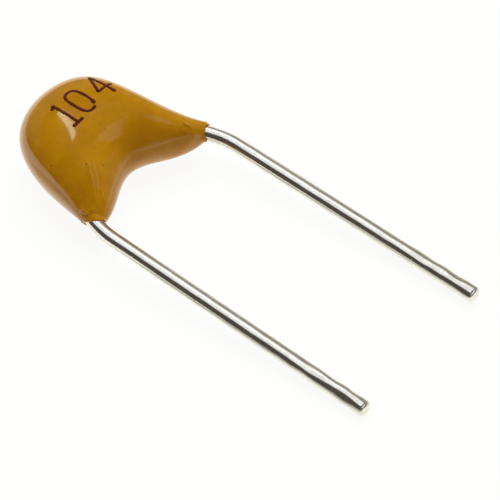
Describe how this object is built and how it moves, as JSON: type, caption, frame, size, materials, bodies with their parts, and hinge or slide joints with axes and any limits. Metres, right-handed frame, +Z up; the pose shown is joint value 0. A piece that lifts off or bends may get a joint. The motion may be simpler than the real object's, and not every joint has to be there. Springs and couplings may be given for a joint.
{
  "type": "multilayer ceramic capacitor",
  "caption": "Radial dipped ceramic capacitor: a rounded ochre epoxy body with a leg of coating on each of its parallel tinned wire leads, lying flat; stores charge on a circuit board.",
  "frame": {"origin": "centre of the footprint, at the floor that the part lies on", "axes": "+Z up from the floor; +Y from the lead tips towards the crown of the body; +X from the left lead to the right lead"},
  "size_m": [0.0056, 0.0158, 0.0025],
  "materials": {
    "epoxy": "glossy dipped ochre epoxy",
    "ceramic": "matte fired dielectric",
    "electrode": "dull nickel film",
    "termination": "satin plated metal",
    "solder": "satin solder",
    "tinned_wire": "bright drawn tin plating"
  },
  "bodies": {
    "root": {"epoxy_coating": "epoxy", "ceramic_chip": "ceramic", "left_electrodes": "electrode", "right_electrodes": "electrode", "left_termination": "termination", "right_termination": "termination", "left_solder": "solder", "right_solder": "solder", "left_lead": "tinned_wire", "right_lead": "tinned_wire"}
  },
  "joints": []
}
